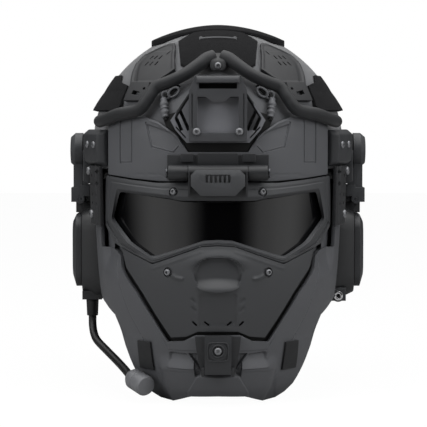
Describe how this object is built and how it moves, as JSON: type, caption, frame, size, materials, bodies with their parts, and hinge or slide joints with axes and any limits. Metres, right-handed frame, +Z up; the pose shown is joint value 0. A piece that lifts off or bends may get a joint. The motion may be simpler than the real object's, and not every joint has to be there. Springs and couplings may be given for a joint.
{
  "type": "full face helmet",
  "caption": "Full-face protective helmet with flip-up visor and face plate, fixed jaw guard, side rails, accessory shroud, swing-out ear cups and a boom microphone.",
  "frame": {"origin": "the middle of the crown pad's underside, where the helmet rests on the head", "axes": "+Z up, -Y to the front of the face, +X to the wearer's left"},
  "size_m": [0.258, 0.2892, 0.313],
  "materials": {
    "shell": "matte, fine moulded texture",
    "trim": "matte",
    "loop": "hook-and-loop pile",
    "panel": "matte",
    "brow": "matte, fine moulded texture",
    "bumper": "satin moulded rubber",
    "shroud": "satin",
    "plate_metal": "satin black coating",
    "screw": "blackened steel",
    "pin": "plain steel",
    "cord": "matte",
    "small_plastic": "satin",
    "visor": "satin",
    "lens": "dark tinted, polished",
    "rail": "satin",
    "cup": "satin",
    "cover": "satin",
    "cushion": "soft synthetic leather",
    "collar": "polished",
    "foam": "cloth-covered foam",
    "band": "matte"
  },
  "bodies": {
    "helmet": {"helmet_shell": "shell", "edge_trim": "trim", "crown_loop_panel": "loop", "front_loop_panel": "loop", "side_loop_panels": "loop", "rear_loop_panel": "loop", "left_vent_panel": "panel", "right_vent_panel": "panel", "brow_plate": "brow", "bumper": "bumper", "crown_boss": "bumper", "shroud_base": "shroud", "shroud_plate": "plate_metal", "shroud_screws": "screw", "bungees": "cord", "bungee_toggles": "small_plastic", "hinge_bracket": "shroud", "hinge_pin": "pin", "chin_block": "shroud", "latch_pin": "pin", "jaw_guard": "brow", "jaw_seal": "trim", "jaw_inserts": "small_plastic", "jaw_posts": "panel", "left_rail": "rail", "right_rail": "rail", "side_screws": "screw", "right_arm": "rail", "right_arm_pin": "pin", "crown_pad": "foam", "front_pad": "foam", "rear_pad": "foam", "side_pads": "foam", "head_band": "band", "dial_housing": "band"},
    "face_unit": {"visor_hinge_block": "shroud", "visor_frame": "visor", "lens": "lens", "lens_gasket": "trim", "face_plate": "visor", "breath_filter": "foam", "nose_cover": "small_plastic", "face_screws": "screw"},
    "release_button": {"release_button": "shroud"},
    "chin_latch": {"chin_latch": "shroud", "latch_screw": "screw"},
    "left_arm": {"left_arm": "rail", "left_arm_pin": "pin"},
    "left_cup": {"left_ear_cup": "cup", "left_ear_cover": "cover", "left_ear_cushion": "cushion", "audio_socket": "small_plastic", "socket_collar": "collar"},
    "right_cup": {"right_ear_cup": "cup", "right_ear_cover": "cover", "right_ear_cushion": "cushion", "boom_sleeve": "cord"},
    "boom": {"mic_boom": "cord", "mic_capsule": "small_plastic"},
    "dial": {"dial_knob": "band"}
  },
  "joints": [
    {"name": "face_flip", "type": "hinge", "parent": "helmet", "child": "face_unit", "pos_m": [0, -0.141, -0.101], "axis": [-1, 0, 0], "range_deg": [0, 90]},
    {"name": "button_press", "type": "slide", "parent": "face_unit", "child": "release_button", "axis": [0, 1, 0], "range_m": [0, 0.002], "stiffness_N_per_m": 300},
    {"name": "latch_turn", "type": "hinge", "parent": "helmet", "child": "chin_latch", "pos_m": [0, -0.1519, -0.2602], "axis": [1, 0, 0], "range_deg": [0, 60]},
    {"name": "left_arm_turn", "type": "hinge", "parent": "helmet", "child": "left_arm", "pos_m": [0.1185, 0.012, -0.0857], "axis": [1, 0, 0], "range_deg": [0, 10]},
    {"name": "left_cup_swing", "type": "hinge", "parent": "left_arm", "child": "left_cup", "pos_m": [0.1205, 0.012, -0.1282], "axis": [0, -1, 0], "range_deg": [0, 30]},
    {"name": "right_cup_swing", "type": "hinge", "parent": "helmet", "child": "right_cup", "pos_m": [-0.1205, 0.012, -0.1282], "axis": [0, 1, 0], "range_deg": [0, 30]},
    {"name": "boom_swivel", "type": "hinge", "parent": "right_cup", "child": "boom", "pos_m": [-0.1095, -0.008, -0.222], "axis": [0, 0, -1], "range_deg": [0, 60]},
    {"name": "dial_turn", "type": "hinge", "parent": "helmet", "child": "dial", "pos_m": [0, 0.121, -0.1557], "axis": [0, 1, 0], "continuous": true}
  ]
}
